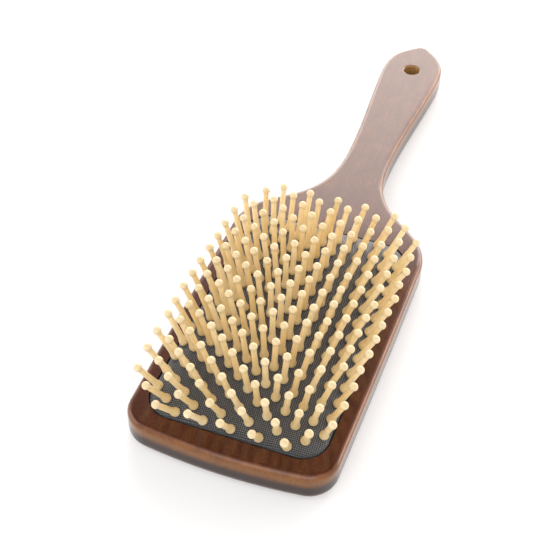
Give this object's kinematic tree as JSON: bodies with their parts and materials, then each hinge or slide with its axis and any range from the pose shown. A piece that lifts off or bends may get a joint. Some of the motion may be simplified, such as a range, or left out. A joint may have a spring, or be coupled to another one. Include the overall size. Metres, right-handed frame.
{
  "type": "paddle brush",
  "caption": "Flat wooden paddle brush with a sprung air cushion of ball-tipped wooden pins, a waisted handle with a pointed end and a hanging hole.",
  "frame": {"origin": "on the flat back of the brush, under the middle of its length and width", "axes": "+Z from the back towards the pin tips, +Y along the handle towards its pointed end, +X across the head to the right seen from the pin side with the handle up"},
  "size_m": [0.0736, 0.2449, 0.0318],
  "materials": {
    "walnut_wood": "satin lacquer over a reddish brown walnut stain",
    "black_rubber": "matt",
    "woven_cloth": "fine dark woven cloth bonded on rubber",
    "beech_pins": "smooth, bare pale wood"
  },
  "bodies": {
    "brush_body": {"wooden_body": "walnut_wood"},
    "cushion": {"rubber_cushion": "black_rubber", "woven_facing": "woven_cloth"},
    "pin_column_01": {"pin_column_01_head_half": "beech_pins", "pin_column_01_handle_half": "beech_pins"},
    "pin_column_02": {"pin_column_02_head_half": "beech_pins", "pin_column_02_handle_half": "beech_pins"},
    "pin_column_03": {"pin_column_03_head_half": "beech_pins", "pin_column_03_handle_half": "beech_pins"},
    "pin_column_04": {"pin_column_04_head_half": "beech_pins", "pin_column_04_handle_half": "beech_pins"},
    "pin_column_05": {"pin_column_05_head_half": "beech_pins", "pin_column_05_handle_half": "beech_pins"},
    "pin_column_06": {"pin_column_06_head_half": "beech_pins", "pin_column_06_handle_half": "beech_pins"},
    "pin_column_07": {"pin_column_07_head_half": "beech_pins", "pin_column_07_handle_half": "beech_pins"},
    "pin_column_08": {"pin_column_08_head_half": "beech_pins", "pin_column_08_handle_half": "beech_pins"},
    "pin_column_09": {"pin_column_09_head_half": "beech_pins", "pin_column_09_handle_half": "beech_pins"},
    "pin_column_10": {"pin_column_10_head_half": "beech_pins", "pin_column_10_handle_half": "beech_pins"},
    "pin_column_11": {"pin_column_11_head_half": "beech_pins", "pin_column_11_handle_half": "beech_pins"},
    "pin_column_12": {"pin_column_12_head_half": "beech_pins", "pin_column_12_handle_half": "beech_pins"},
    "pin_column_13": {"pin_column_13_head_half": "beech_pins", "pin_column_13_handle_half": "beech_pins"}
  },
  "joints": [
    {"name": "cushion_press", "type": "slide", "parent": "brush_body", "child": "cushion", "axis": [0, 0, -1], "range_m": [0, 0.002], "stiffness_N_per_m": 4000, "deforming": ["rubber_cushion", "woven_facing"]},
    {"name": "pin_column_01_tilt", "type": "hinge", "parent": "cushion", "child": "pin_column_01", "pos_m": [-0.02814, -0.0642, 0.01296], "axis": [0, 1, 0], "range_deg": [-8, 8], "stiffness_Nm_per_rad": 0.3},
    {"name": "pin_column_02_tilt", "type": "hinge", "parent": "cushion", "child": "pin_column_02", "pos_m": [-0.02345, -0.0642, 0.01408], "axis": [0, 1, 0], "range_deg": [-8, 8], "stiffness_Nm_per_rad": 0.3},
    {"name": "pin_column_03_tilt", "type": "hinge", "parent": "cushion", "child": "pin_column_03", "pos_m": [-0.01876, -0.0642, 0.01459], "axis": [0, 1, 0], "range_deg": [-8, 8], "stiffness_Nm_per_rad": 0.3},
    {"name": "pin_column_04_tilt", "type": "hinge", "parent": "cushion", "child": "pin_column_04", "pos_m": [-0.01407, -0.0642, 0.01514], "axis": [0, 1, 0], "range_deg": [-8, 8], "stiffness_Nm_per_rad": 0.3},
    {"name": "pin_column_05_tilt", "type": "hinge", "parent": "cushion", "child": "pin_column_05", "pos_m": [-0.00938, -0.0642, 0.01521], "axis": [0, 1, 0], "range_deg": [-8, 8], "stiffness_Nm_per_rad": 0.3},
    {"name": "pin_column_06_tilt", "type": "hinge", "parent": "cushion", "child": "pin_column_06", "pos_m": [-0.00469, -0.0642, 0.01554], "axis": [0, 1, 0], "range_deg": [-8, 8], "stiffness_Nm_per_rad": 0.3},
    {"name": "pin_column_07_tilt", "type": "hinge", "parent": "cushion", "child": "pin_column_07", "pos_m": [0, -0.0642, 0.01538], "axis": [0, 1, 0], "range_deg": [-8, 8], "stiffness_Nm_per_rad": 0.3},
    {"name": "pin_column_08_tilt", "type": "hinge", "parent": "cushion", "child": "pin_column_08", "pos_m": [0.00469, -0.0642, 0.01554], "axis": [0, 1, 0], "range_deg": [-8, 8], "stiffness_Nm_per_rad": 0.3},
    {"name": "pin_column_09_tilt", "type": "hinge", "parent": "cushion", "child": "pin_column_09", "pos_m": [0.00938, -0.0642, 0.01521], "axis": [0, 1, 0], "range_deg": [-8, 8], "stiffness_Nm_per_rad": 0.3},
    {"name": "pin_column_10_tilt", "type": "hinge", "parent": "cushion", "child": "pin_column_10", "pos_m": [0.01407, -0.0642, 0.01514], "axis": [0, 1, 0], "range_deg": [-8, 8], "stiffness_Nm_per_rad": 0.3},
    {"name": "pin_column_11_tilt", "type": "hinge", "parent": "cushion", "child": "pin_column_11", "pos_m": [0.01876, -0.0642, 0.01459], "axis": [0, 1, 0], "range_deg": [-8, 8], "stiffness_Nm_per_rad": 0.3},
    {"name": "pin_column_12_tilt", "type": "hinge", "parent": "cushion", "child": "pin_column_12", "pos_m": [0.02345, -0.0642, 0.01408], "axis": [0, 1, 0], "range_deg": [-8, 8], "stiffness_Nm_per_rad": 0.3},
    {"name": "pin_column_13_tilt", "type": "hinge", "parent": "cushion", "child": "pin_column_13", "pos_m": [0.02814, -0.0642, 0.01296], "axis": [0, 1, 0], "range_deg": [-8, 8], "stiffness_Nm_per_rad": 0.3}
  ]
}
